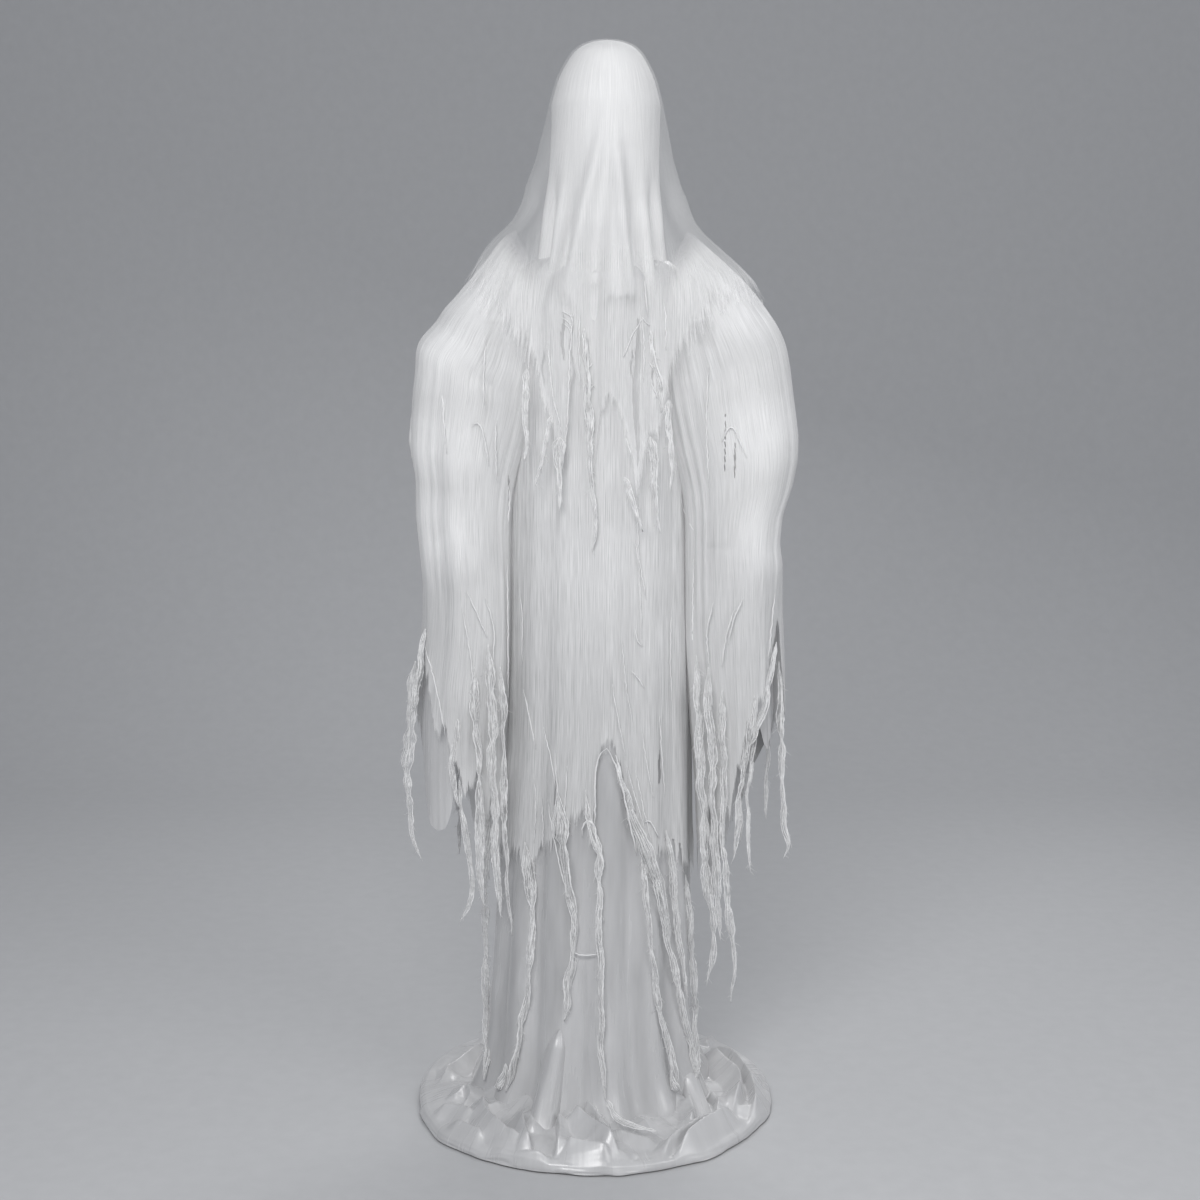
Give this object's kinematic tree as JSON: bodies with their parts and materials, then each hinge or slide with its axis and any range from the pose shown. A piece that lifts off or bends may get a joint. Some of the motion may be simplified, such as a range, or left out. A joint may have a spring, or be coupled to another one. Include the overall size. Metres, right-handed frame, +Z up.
{
  "type": "animated ghost figure",
  "caption": "Life size draped ghost figure in torn white gauze over satin on a round base, with a turning waist and head, arms that lift, lights and sound",
  "frame": {"origin": "on the floor under the centre of the round base board, on the axis of the pole", "axes": "+Z up, the front of the figure towards -Y, +X towards the side that is on the right seen from the front"},
  "size_m": [0.664, 0.6316, 1.83],
  "materials": {
    "satin": "smooth white satin with a soft sheen",
    "gauze": "sheer white gauze, torn and frayed",
    "padding": "white stuffed cloth",
    "board": "plain pressed board",
    "black_steel": "black paint",
    "steel": "zinc plated",
    "shell": "moulded white plastic",
    "black_plastic": "fine grain",
    "gear_plastic": "natural nylon",
    "lens": "frosted lamp cover",
    "circuit": "green board lacquer"
  },
  "bodies": {
    "base": {"base_board": "board", "pole_socket": "black_steel", "flange_screw_1": "steel", "flange_screw_2": "steel", "flange_screw_3": "steel", "flange_screw_4": "steel", "lower_pole": "black_steel", "upper_pole": "black_steel", "pole_coupling": "black_plastic", "coupling_screw": "steel", "waist_plate": "black_steel", "waist_washer": "gear_plastic", "waist_gear_motor": "black_plastic", "skirt": "satin", "overdress": "gauze", "base_cloth": "satin", "control_housing": "black_plastic", "control_floor": "black_plastic", "circuit_board": "circuit", "speaker": "black_plastic", "power_inlet": "black_plastic"},
    "waist_pinion": {"waist_pinion": "gear_plastic"},
    "torso": {"waist_hub": "steel", "waist_gear": "gear_plastic", "spine_tube": "steel", "torso_frame": "black_steel", "neck_bushing": "gear_plastic", "head_gear_motor": "black_plastic", "arm_gear_motor": "black_plastic", "chest_shell_front": "shell", "chest_shell_back": "shell", "bodice": "satin", "cape": "gauze"},
    "head_pinion": {"head_pinion": "gear_plastic"},
    "arm_pinion": {"arm_pinion": "gear_plastic"},
    "head": {"neck_shaft": "steel", "head_gear": "gear_plastic", "head_shell_front": "shell", "head_shell_back": "shell", "head_light": "lens", "veil": "gauze"},
    "arms": {"arm_shaft": "steel", "arm_gear": "gear_plastic", "left_shoulder_hub": "black_plastic", "left_arm_tube": "steel", "left_arm_padding": "padding", "left_arm_light": "lens", "left_sleeve": "gauze", "right_shoulder_hub": "black_plastic", "right_arm_tube": "steel", "right_arm_padding": "padding", "right_arm_light": "lens", "right_sleeve": "gauze"},
    "mode_switch": {"mode_switch": "steel"},
    "test_button": {"test_button": "shell"},
    "volume_knob": {"volume_knob": "black_plastic"}
  },
  "joints": [
    {"name": "waist_turn", "type": "hinge", "parent": "base", "child": "torso", "pos_m": [0, 0, 0.96], "axis": [0, 0, 1], "range_deg": [-15, 15]},
    {"name": "head_turn", "type": "hinge", "parent": "torso", "child": "head", "pos_m": [0, 0, 1.45], "axis": [0, 0, 1], "range_deg": [-30, 30]},
    {"name": "arms_lift", "type": "hinge", "parent": "torso", "child": "arms", "pos_m": [0, 0, 1.36], "axis": [-1, 0, 0], "range_deg": [0, 20]},
    {"name": "waist_pinion_turn", "type": "hinge", "parent": "base", "child": "waist_pinion", "pos_m": [0, 0.084, 0.968], "axis": [0, 0, 1], "range_deg": [-45, 45]},
    {"name": "head_pinion_turn", "type": "hinge", "parent": "torso", "child": "head_pinion", "pos_m": [0, 0.063, 1.4066], "axis": [0, 0, 1], "range_deg": [-60, 60]},
    {"name": "arm_pinion_turn", "type": "hinge", "parent": "torso", "child": "arm_pinion", "pos_m": [0.034, 0, 1.297], "axis": [-1, 0, 0], "range_deg": [-40, 0]},
    {"name": "mode_switch_slide", "type": "slide", "parent": "base", "child": "mode_switch", "axis": [0, 1, 0], "range_m": [0, 0.006]},
    {"name": "test_button_press", "type": "slide", "parent": "base", "child": "test_button", "axis": [0, 0, -1], "range_m": [0, 0.0025], "stiffness_N_per_m": 300},
    {"name": "volume_knob_turn", "type": "hinge", "parent": "base", "child": "volume_knob", "pos_m": [-0.044, 0.252, 0.055], "axis": [0, 0, 1], "range_deg": [0, 270]}
  ],
  "couplings": [
    {"joint": "waist_pinion_turn", "follows": "waist_turn", "ratio": -3},
    {"joint": "head_pinion_turn", "follows": "head_turn", "ratio": -2},
    {"joint": "arm_pinion_turn", "follows": "arms_lift", "ratio": -2}
  ]
}
